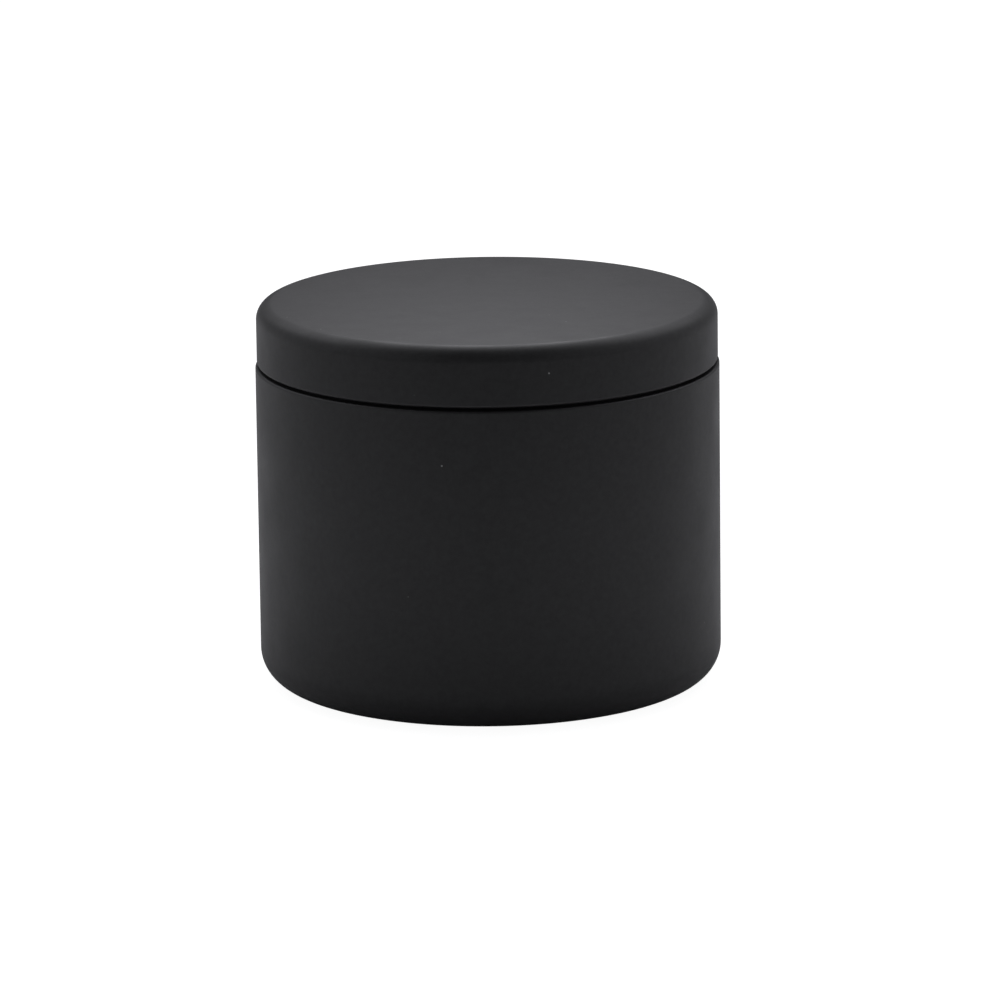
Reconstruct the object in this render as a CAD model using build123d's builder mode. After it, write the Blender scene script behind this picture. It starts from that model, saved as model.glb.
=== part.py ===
from build123d import *
import math
import os

# A candle tin made of two drawn tinplate cups that share one upright axis.
# The deep cup holds the candle. The shallow cup is the lid: it slips over the
# deep cup's neck until its top corner sits on the rolled rim, and leaves a
# narrow gap above the shoulder. Each cup is drawn from a single disc, so it
# has no seam. All sizes are in millimetres.
#
# Origin: centre of the ring the tin stands on. +Z: up the axis of both cups.

# Tinplate
SHEET = 0.25            # thickness
CURL_SWEEP = 270        # degrees each raw edge is rolled through

# Deep cup
BODY_RADIUS = 38.5      # outside of the straight wall
BASE_CORNER = 5.8       # outside radius where the wall turns into the base
RING_WIDTH = 0.9        # flat ring the tin stands on
STEP_WIDTH = 1.2        # sloping step from the ring to the base panel
STEP_ROUNDING = 0.8     # rounding at both ends of that step
BASE_RISE = 0.9         # height of the base panel above the ring
SHOULDER_HEIGHT = 53.7  # level the wall steps in at
SHOULDER_ROUNDING = 0.4
NECK_ROUNDING = 0.5     # hollow rounding between shoulder and neck
RIM_CURL = 0.7          # outside radius of the rolled rim

# Lid, closed
LID_RADIUS = 38.25      # outside of the skirt
LID_TOP = 64.1          # level of the flat top
LID_CORNER = 2.6        # outside radius between top and skirt
HEM_HEIGHT = 54.15      # underside of the rolled hem
HEM_CURL = 0.5          # outside radius of the rolled hem

# Fit between the two
HEM_PLAY = 0.08         # radial gap between hem and neck
SEAT_GAP = 0.05         # gap between the rim and the lid's top corner

# The neck is as wide as the hem lets through.
neck_radius = LID_RADIUS - 2 * HEM_CURL - HEM_PLAY

# The rolled rim nests inside the rounding of the lid's top corner, so the
# centre of the roll lies on an arc about the centre of that rounding.
rim_radius = neck_radius - RIM_CURL
corner_radius = LID_RADIUS - LID_CORNER
nest_reach = LID_CORNER - SHEET - RIM_CURL - SEAT_GAP
nest_rise = math.sqrt(nest_reach**2 - (rim_radius - corner_radius) ** 2)
rim_height = LID_TOP - LID_CORNER + nest_rise

os.makedirs("parts", exist_ok=True)

# Deep cup: the line follows the outer skin from the middle of the base, out
# along the standing ring and up to the rolled rim. The sheet lies inside it.
ring_outer = BODY_RADIUS - BASE_CORNER
ring_inner = ring_outer - RING_WIDTH
panel_radius = ring_inner - STEP_WIDTH

with BuildPart() as tin_body:
    with BuildSketch(Plane.XZ) as body_section:
        with BuildLine() as body_skin:
            base = FilletPolyline(
                (0, BASE_RISE),
                (panel_radius, BASE_RISE),
                (ring_inner, 0),
                (ring_outer, 0),
                radius=STEP_ROUNDING,
            )
            corner = JernArc(base @ 1, (1, 0), BASE_CORNER, 90)
            wall = Line(corner @ 1, (BODY_RADIUS, SHOULDER_HEIGHT - SHOULDER_ROUNDING))
            shoulder = JernArc(wall @ 1, (0, 1), SHOULDER_ROUNDING, 90)
            ledge = Line(shoulder @ 1, (neck_radius + NECK_ROUNDING, SHOULDER_HEIGHT))
            hollow = JernArc(ledge @ 1, (-1, 0), NECK_ROUNDING, -90)
            neck = Line(hollow @ 1, (neck_radius, rim_height))
            rim = JernArc(neck @ 1, (0, 1), RIM_CURL, CURL_SWEEP)
            offset(amount=SHEET, side=Side.RIGHT)
        make_face()
    revolve(axis=Axis.Z)

tin_body.part.label = "tin_body"
export_step(tin_body.part, "parts/tin_body.step")

# Lid: the line follows the outer skin from the middle of the top, out and
# down to the rolled hem. The sheet lies inside it.
with BuildPart() as lid:
    with BuildSketch(Plane.XZ) as lid_section:
        with BuildLine() as lid_skin:
            top = Line((0, LID_TOP), (corner_radius, LID_TOP))
            crown = JernArc(top @ 1, (1, 0), LID_CORNER, -90)
            skirt = Line(crown @ 1, (LID_RADIUS, HEM_HEIGHT + HEM_CURL))
            hem = JernArc(skirt @ 1, (0, -1), HEM_CURL, -CURL_SWEEP)
            offset(amount=SHEET, side=Side.RIGHT)
        make_face()
    revolve(axis=Axis.Z)

lid.part.label = "lid"
export_step(lid.part, "parts/lid.step")
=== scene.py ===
import math

import bmesh
import bpy
from mathutils import Matrix, Vector


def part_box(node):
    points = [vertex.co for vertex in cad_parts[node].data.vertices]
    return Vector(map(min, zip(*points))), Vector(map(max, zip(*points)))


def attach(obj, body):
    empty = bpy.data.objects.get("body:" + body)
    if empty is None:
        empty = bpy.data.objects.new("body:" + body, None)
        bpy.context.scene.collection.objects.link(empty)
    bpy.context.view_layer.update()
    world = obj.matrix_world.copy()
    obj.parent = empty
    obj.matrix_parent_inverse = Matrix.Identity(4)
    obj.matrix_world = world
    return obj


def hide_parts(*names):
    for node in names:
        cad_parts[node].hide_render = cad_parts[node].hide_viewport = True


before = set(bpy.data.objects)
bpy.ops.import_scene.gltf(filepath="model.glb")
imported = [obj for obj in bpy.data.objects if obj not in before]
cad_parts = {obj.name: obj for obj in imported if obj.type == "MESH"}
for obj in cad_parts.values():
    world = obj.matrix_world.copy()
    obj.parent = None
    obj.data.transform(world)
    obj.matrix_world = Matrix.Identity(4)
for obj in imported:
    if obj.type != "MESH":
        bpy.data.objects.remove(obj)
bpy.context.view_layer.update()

MM = 0.001

# ---------------------------------------------------------------- sizes
# Millimetres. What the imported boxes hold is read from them.
SHEET = 0.25            # tinplate thickness
CURL_SWEEP = 270        # degrees each raw edge is rolled through
BASE_CORNER = 5.8       # outside radius between wall and base
RING_WIDTH = 0.9        # flat ring the tin stands on
STEP_WIDTH = 1.2        # sloping step from the ring to the base panel
STEP_ROUNDING = 0.8     # rounding at both ends of that step
BASE_RISE = 0.9         # base panel above the ring
SHOULDER_HEIGHT = 53.7  # level the wall steps in at
SHOULDER_ROUNDING = 0.4
NECK_ROUNDING = 0.5     # hollow rounding between shoulder and neck
RIM_CURL = 0.7          # outside radius of the rolled rim
LID_CORNER = 2.6        # outside radius between the lid's top and skirt
HEM_CURL = 0.5          # outside radius of the rolled hem
HEM_PLAY = 0.08         # radial gap between hem and neck

body_low, body_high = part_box("tin_body")
lid_low, lid_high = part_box("lid")
BODY_RADIUS = max(body_high.x, body_high.y) / MM
RIM_TOP = body_high.z / MM
LID_RADIUS = max(lid_high.x, lid_high.y) / MM
LID_TOP = lid_high.z / MM
HEM_HEIGHT = lid_low.z / MM
NECK_RADIUS = LID_RADIUS - 2 * HEM_CURL - HEM_PLAY

TURNS = 256             # faces round each turned piece
ARC_STEP = 5.0          # degrees of a rounding per row of faces
GUARD = 0.2             # narrow row of faces beside each rounding
FLAT_STEP = 4.0         # longest row of faces on a straight stretch
TINY = 1e-6             # closer to the axis than this is on it


# ---------------------------------------------------------------- turned sheet
def heading_vector(degrees):
    a = math.radians(degrees)
    return Vector((math.cos(a), math.sin(a)))


class Skin:
    """The outer skin of a drawn cup in section: straight stretches and roundings
    that run on from each other without a kink. Headings are in degrees, with 0
    pointing away from the axis and 90 pointing up."""

    def __init__(self, radius, height, heading, outside):
        self.at = Vector((radius, height))
        self.heading = heading
        self.outside = outside  # +1 where the outside is on the left of the path
        self.rows = []
        self.mark()

    def mark(self):
        """Keeps the place reached, and the direction that faces outwards there."""
        self.rows.append((self.at.copy(), heading_vector(self.heading + 90 * self.outside)))

    def straight(self, length):
        ahead = heading_vector(self.heading)
        start = self.at.copy()
        guard = min(GUARD, length / 4)
        middle = length - 2 * guard
        count = max(1, math.ceil(middle / FLAT_STEP))
        stops = [guard + middle * i / count for i in range(count + 1)] + [length]
        for stop in stops:
            self.at = start + ahead * stop
            self.mark()

    def rounding(self, radius, turn):
        """Turns through some degrees, to the left where they are positive."""
        side = 1 if turn > 0 else -1
        centre = self.at + heading_vector(self.heading + 90 * side) * radius
        first = self.heading
        count = max(2, math.ceil(abs(turn) / ARC_STEP))
        for i in range(1, count + 1):
            self.heading = first + turn * i / count
            self.at = centre + heading_vector(self.heading - 90 * side) * radius
            self.mark()

    def outer(self):
        return [place for place, away in self.rows]

    def inner(self):
        """The other face of the sheet, one thickness in from each row."""
        return [place - away * SHEET for place, away in self.rows]


def circle(bm, radius, height, count):
    """A ring of vertices about the axis, or one vertex on it. In metres."""
    if radius < TINY:
        return [bm.verts.new((0, 0, height))]
    turns = [2 * math.pi * i / count for i in range(count)]
    return [bm.verts.new((radius * math.cos(a), radius * math.sin(a), height)) for a in turns]


def band(bm, a, b, slot=0, flip=False):
    """Faces from one ring of vertices to the next."""
    for i in range(len(b)):
        j = (i + 1) % len(b)
        corners = [a[0], b[j], b[i]] if len(a) == 1 else [a[i], a[j], b[j], b[i]]
        face = bm.faces.new(corners[::-1] if flip else corners)
        face.material_index = slot
        face.smooth = True


def finished(name, bm, materials):
    """Puts the mesh in the scene as an object."""
    mesh = bpy.data.meshes.new(name)
    bm.to_mesh(mesh)
    bm.free()
    for material in materials:
        mesh.materials.append(material)
    piece = bpy.data.objects.new(name, mesh)
    bpy.context.scene.collection.objects.link(piece)
    return piece


OUTSIDE, INSIDE = 0, 1  # material slots of a cup


def cup(name, skin, outside, inside):
    """Turns both faces of the sheet round the axis into one closed shell."""
    bm = bmesh.new()
    out_rings = [circle(bm, p.x * MM, p.y * MM, TURNS) for p in skin.outer()]
    in_rings = [circle(bm, p.x * MM, p.y * MM, TURNS) for p in skin.inner()]
    flip = skin.outside > 0
    for a, b in zip(out_rings, out_rings[1:]):
        band(bm, a, b, OUTSIDE, flip)
    for a, b in zip(in_rings, in_rings[1:]):
        band(bm, a, b, INSIDE, not flip)
    # The sheet's cut edge, at the end of the roll, has sharp sides.
    band(bm, out_rings[-1], in_rings[-1], INSIDE, flip)
    for ring in (out_rings[-1], in_rings[-1]):
        for i, vertex in enumerate(ring):
            bm.edges.get((vertex, ring[i - 1])).smooth = False
    bm.normal_update()
    return finished(name, bm, (outside, inside))


# ---------------------------------------------------------------- materials
# Where a Mix node keeps its two inputs and its output, for each kind of value.
MIX_SOCKETS = {"FLOAT": (2, 3, 0), "RGBA": (6, 7, 2)}


class Nodes:
    """A short way to write a node tree: add("Type", {input: value}, attribute=...)."""

    def __init__(self, tree):
        self.tree = tree
        self.tree.nodes.clear()

    def add(self, kind, inputs=None, **settings):
        node = self.tree.nodes.new(kind)
        for key, value in settings.items():
            setattr(node, key, value)
        for key, value in (inputs or {}).items():
            if isinstance(value, bpy.types.NodeSocket):
                self.tree.links.new(value, node.inputs[key])
            else:
                node.inputs[key].default_value = value
        return node

    def place(self):
        """Where a point is on its own object, in metres."""
        return self.add("ShaderNodeTexCoord").outputs["Object"]

    def math(self, operation, a, b=0.0):
        return self.add("ShaderNodeMath", {0: a, 1: b}, operation=operation).outputs[0]

    def vector(self, operation, a, b=(0, 0, 0)):
        node = self.add("ShaderNodeVectorMath", {0: a, 1: b}, operation=operation)
        return node.outputs["Value" if operation == "LENGTH" else "Vector"]

    def parts(self, vector):
        return self.add("ShaderNodeSeparateXYZ", {"Vector": vector}).outputs

    def remap(self, value, low, high, to_low, to_high):
        node = self.add("ShaderNodeMapRange", {
            "Value": value, "From Min": low, "From Max": high,
            "To Min": to_low, "To Max": to_high,
        })
        return node.outputs["Result"]

    def noise(self, at, scale, detail=2.0, roughness=0.5):
        node = self.add("ShaderNodeTexNoise", {
            "Vector": at, "Scale": scale, "Detail": detail, "Roughness": roughness,
        })
        return node.outputs["Fac"]

    def mix(self, share, a, b, kind="RGBA"):
        first, second, result = MIX_SOCKETS[kind]
        node = self.add("ShaderNodeMix", {0: share, first: a, second: b}, data_type=kind)
        return node.outputs[result]

    def bump(self, height, depth):
        """The normal of a surface whose height varies, by up to a depth in metres."""
        return self.add("ShaderNodeBump", {"Height": height, "Distance": depth}).outputs["Normal"]


def material(name, paint):
    """A material whose Principled inputs are what paint(nodes) gives."""
    made = bpy.data.materials.new(name)
    made.use_nodes = True
    n = Nodes(made.node_tree)
    shader = n.add("ShaderNodeBsdfPrincipled", paint(n))
    n.add("ShaderNodeOutputMaterial", {"Surface": shader.outputs[0]})
    return made


def grey(value, cool=0.0):
    """A grey whose blue is stronger by the given share."""
    return (value, value, value * (1 + cool), 1.0)


def lacquer(n):
    """Matte black lacquer: a fine grain, a faint orange peel and a few specks of dust."""
    at = n.place()
    patches = n.noise(at, 140, 3.0)
    mottle = n.noise(at, 900, 4.0, 0.8)
    peel = n.noise(at, 700, 1.0)
    grain = n.noise(at, 3600, 2.0, 0.6)

    shade = n.math("ADD", n.remap(patches, 0.35, 0.65, 0.4, 0.6),
                   n.remap(mottle, 0.3, 0.7, -0.5, 0.5))
    colour = n.mix(shade, grey(0.0063, 0.06), grey(0.0157, 0.06))

    # Dust lies at the middle of some of the cells, and is fainter on some of them.
    cells = n.add("ShaderNodeTexVoronoi", {"Vector": at, "Scale": 190.0})
    chance, faint, _ = n.add("ShaderNodeSeparateColor", {"Color": cells.outputs["Color"]}).outputs
    strength = n.math("MULTIPLY", n.math("GREATER_THAN", chance, 0.3),
                      n.remap(faint, 0.0, 1.0, 0.1, 1.0))
    speck = n.math("MULTIPLY", strength, n.remap(cells.outputs["Distance"], 0.022, 0.036, 1, 0))
    colour = n.mix(speck, colour, grey(0.28))

    rough = n.math("ADD", n.remap(patches, 0.3, 0.7, 0.47, 0.53),
                   n.remap(grain, 0.3, 0.7, -0.02, 0.02))
    height = n.math("ADD", n.math("MULTIPLY", grain, 0.35), peel)
    return {"Base Color": colour, "Roughness": rough, "IOR": 1.5,
            "Normal": n.bump(height, 0.006 * MM)}


def tinplate(n):
    """Bare tinplate: a straight rolled grain on the flat panels, and fine drawn
    lines down the walls."""
    at = n.place()
    # Lines down a wall vary round the axis and hardly at all along it.
    around = n.vector("NORMALIZE", n.vector("MULTIPLY", at, (1, 1, 0)))
    along = n.vector("MULTIPLY", at, (0, 0, 0.3))
    drawn = n.noise(n.vector("ADD", around, along), 60)
    rolled = n.noise(n.vector("MULTIPLY", at, (0.03, 1, 0)), 1300)
    upright = n.parts(n.add("ShaderNodeTexCoord").outputs["Normal"])[2]
    flat = n.remap(n.math("ABSOLUTE", upright), 0.93, 0.99, 0, 1)
    lines = n.mix(flat, drawn, rolled, "FLOAT")
    cloud = n.noise(at, 60, 3.0)

    colour = n.mix(n.remap(lines, 0.3, 0.7, 0, 1), grey(0.765, -0.02), grey(0.815, -0.02))
    rough = n.math("ADD", n.remap(lines, 0.3, 0.7, 0.297, 0.307),
                   n.remap(cloud, 0.3, 0.7, -0.03, 0.04))
    return {"Base Color": colour, "Metallic": 1.0, "Roughness": rough,
            "Normal": n.bump(lines, 0.0008 * MM)}


black = material("matte_black_lacquer", lacquer)
silver = material("bare_tinplate", tinplate)

# ---------------------------------------------------------------- the tin
ring_outer = BODY_RADIUS - BASE_CORNER
ring_inner = ring_outer - RING_WIDTH
slope = math.degrees(math.atan2(BASE_RISE, STEP_WIDTH))
trim = STEP_ROUNDING * math.tan(math.radians(slope) / 2)
run = math.hypot(BASE_RISE, STEP_WIDTH)
rim_height = RIM_TOP - RIM_CURL

body = Skin(0, BASE_RISE, heading=0, outside=-1)
body.straight(ring_inner - STEP_WIDTH - trim)
body.rounding(STEP_ROUNDING, -slope)
body.straight(run - 2 * trim)
body.rounding(STEP_ROUNDING, slope)
body.straight(RING_WIDTH - trim)
body.rounding(BASE_CORNER, 90)
body.straight(SHOULDER_HEIGHT - SHOULDER_ROUNDING - BASE_CORNER)
body.rounding(SHOULDER_ROUNDING, 90)
body.straight(BODY_RADIUS - SHOULDER_ROUNDING - NECK_RADIUS - NECK_ROUNDING)
body.rounding(NECK_ROUNDING, -90)
body.straight(rim_height - SHOULDER_HEIGHT - NECK_ROUNDING)
body.rounding(RIM_CURL, CURL_SWEEP)
tin_shell = cup("tin_shell", body, black, silver)
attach(tin_shell, "tin")
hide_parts("tin_body")

cover = Skin(0, LID_TOP, heading=0, outside=1)
cover.straight(LID_RADIUS - LID_CORNER)
cover.rounding(LID_CORNER, -90)
cover.straight(LID_TOP - LID_CORNER - HEM_HEIGHT - HEM_CURL)
cover.rounding(HEM_CURL, -CURL_SWEEP)
lid_shell = cup("lid_shell", cover, black, silver)
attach(lid_shell, "lid")
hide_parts("lid")

# ---------------------------------------------------------------- studio
# Metres from here on. Radiance is in the scene's own unit, with 1 as white.
COOL = 0.045            # the lamps' light is a little blue
LIGHT = grey(1.0, COOL)

# The floor is two surfaces in one place. The camera sees a pale sweep that
# curves up all round. The tin sees a white table top with a painted ring of
# light on it, a glow that stands in for lamp light falling on the table.
SWEEP_RADIUS, SWEEP_BEND, SWEEP_TOP = 1.9, 0.8, 3.0
SWEEP_WHITE, SWEEP_GLOW = 0.35, 0.94
TABLE_RADIUS = 0.20
TABLE_DROP = 0.00005    # keeps the table clear of the standing ring
TABLE_WHITE = 0.8
RING_RISE = 0.07, 0.12  # radii between which the painted glow on the table comes up
RING_FALL = 0.15, 0.20  # and goes down again
RING_FRONT, RING_BACK = 0.45, 0.0
FLOOR_TURNS = 96


def card(colour, glow_colour, glow):
    """What a shader needs to be dull paper that also gives light."""
    return {"Base Color": grey(colour), "Roughness": 1.0, "Specular IOR Level": 0.0,
            "Emission Color": glow_colour, "Emission Strength": glow}


def sweep_white(n):
    return card(SWEEP_WHITE, grey(1.0), SWEEP_GLOW)


def table_painted_glow(n):
    """A painted ring of light, a glow that lies round the tin and is strongest in front."""
    at = n.place()
    away = n.vector("LENGTH", at)
    back = n.math("DIVIDE", n.parts(at)[1], away)
    # The glow is painted light: emission standing in for light falling on the table.
    glow = n.remap(back, -1, 1, RING_FRONT, RING_BACK)
    glow = n.math("MULTIPLY", glow, n.remap(away, *RING_RISE, 0, 1))
    glow = n.math("MULTIPLY", glow, n.remap(away, *RING_FALL, 1, 0))
    return card(TABLE_WHITE, LIGHT, glow)


def floor_piece(name, rows, paint, camera):
    """A disc and the surface that goes on from it through (radius, height) rows,
    seen by the camera alone or by everything but the camera."""
    bm = bmesh.new()
    rings = [circle(bm, radius, height, FLOOR_TURNS) for radius, height in rows]
    bm.faces.new(rings[0])
    for a, b in zip(rings, rings[1:]):
        band(bm, a, b)
    thing = finished(name, bm, [material(name + "_white", paint)])
    thing.visible_camera = camera
    thing.visible_diffuse = thing.visible_glossy = not camera
    thing.visible_transmission = thing.visible_shadow = not camera


sweep_rows = [(SWEEP_RADIUS, 0.0)]
for degrees in range(10, 91, 10):
    a = math.radians(degrees)
    sweep_rows.append((SWEEP_RADIUS + SWEEP_BEND * math.sin(a), SWEEP_BEND * (1 - math.cos(a))))
sweep_rows.append((SWEEP_RADIUS + SWEEP_BEND, SWEEP_TOP))
floor_piece("sweep", sweep_rows, sweep_white, camera=True)
floor_piece("table", [(TABLE_RADIUS, -TABLE_DROP)], table_painted_glow, camera=False)

# The room: lighter to the sides above, and to the back and sides below.
SIDES_ABOVE = 0.47
SIDES_BELOW = 0.20
BACK_BELOW = 0.51
world = bpy.data.worlds.new("studio")
bpy.context.scene.world = world
world.use_nodes = True
w = Nodes(world.node_tree)
across, back, up = w.parts(w.add("ShaderNodeTexCoord").outputs["Generated"])
across = w.math("ABSOLUTE", across)
above = w.math("MULTIPLY", across, SIDES_ABOVE)
below = w.math("ADD", w.math("MULTIPLY", across, SIDES_BELOW),
               w.math("MULTIPLY", w.math("MAXIMUM", back, 0.0), BACK_BELOW))
radiance = w.mix(w.math("GREATER_THAN", up, 0.0), below, above, "FLOAT")
sky = w.add("ShaderNodeBackground", {"Color": LIGHT, "Strength": radiance})
w.add("ShaderNodeOutputWorld", {"Surface": sky.outputs[0]})


def softbox(name, place, target, width, depth, radiance):
    """A flat lamp of even radiance that faces a target."""
    lamp = bpy.data.lights.new(name, "AREA")
    lamp.shape = "RECTANGLE"
    lamp.color = LIGHT[:3]
    lamp.size, lamp.size_y = width, depth
    lamp.energy = radiance * math.pi * width * depth
    box = bpy.data.objects.new(name, lamp)
    box.location = place
    box.rotation_euler = (Vector(target) - Vector(place)).to_track_quat("-Z", "Y").to_euler()
    box.visible_camera = False
    bpy.context.scene.collection.objects.link(box)


# A wide lamp overhead and behind, and a small one close to the back of the lid.
softbox("overhead", (0, 0.30, 0.42), (0, 0.30, 0), 0.96, 0.60, radiance=1.0)
softbox("key", (0, 0.11, 0.165), (0, 0, LID_TOP * MM), 0.08, 0.08, radiance=1.8)

# ---------------------------------------------------------------- camera
# The lens stands well back, looks slightly down, and leans a touch to one side.
CAMERA_BACK = 29.927 * BODY_RADIUS * MM
CAMERA_HEIGHT = 7.892 * BODY_RADIUS * MM
PITCH, YAW, ROLL = 0.23336, 0.00157, -0.01224   # radians
FOCAL_LENGTH = 7.1049   # in widths of the image
SENSOR = 36.0

side = Vector((math.cos(YAW), -math.sin(YAW), 0))
level = Vector((math.sin(YAW), math.cos(YAW), 0))
ahead = level * math.cos(PITCH) - Vector((0, 0, math.sin(PITCH)))
up = level * math.sin(PITCH) + Vector((0, 0, math.cos(PITCH)))
right = side * math.cos(ROLL) + up * math.sin(ROLL)
top = up * math.cos(ROLL) - side * math.sin(ROLL)

lens = bpy.data.cameras.new("camera")
lens.sensor_width = SENSOR
lens.lens = FOCAL_LENGTH * SENSOR
lens.clip_start, lens.clip_end = 0.05, 20
camera = bpy.data.objects.new("camera", lens)
facing = Matrix((right, top, -ahead)).transposed().to_4x4()
camera.matrix_world = Matrix.Translation((0, -CAMERA_BACK, CAMERA_HEIGHT)) @ facing
bpy.context.scene.collection.objects.link(camera)
bpy.context.scene.camera = camera

view = bpy.context.scene.view_settings
view.view_transform = "Standard"
view.look = "None"
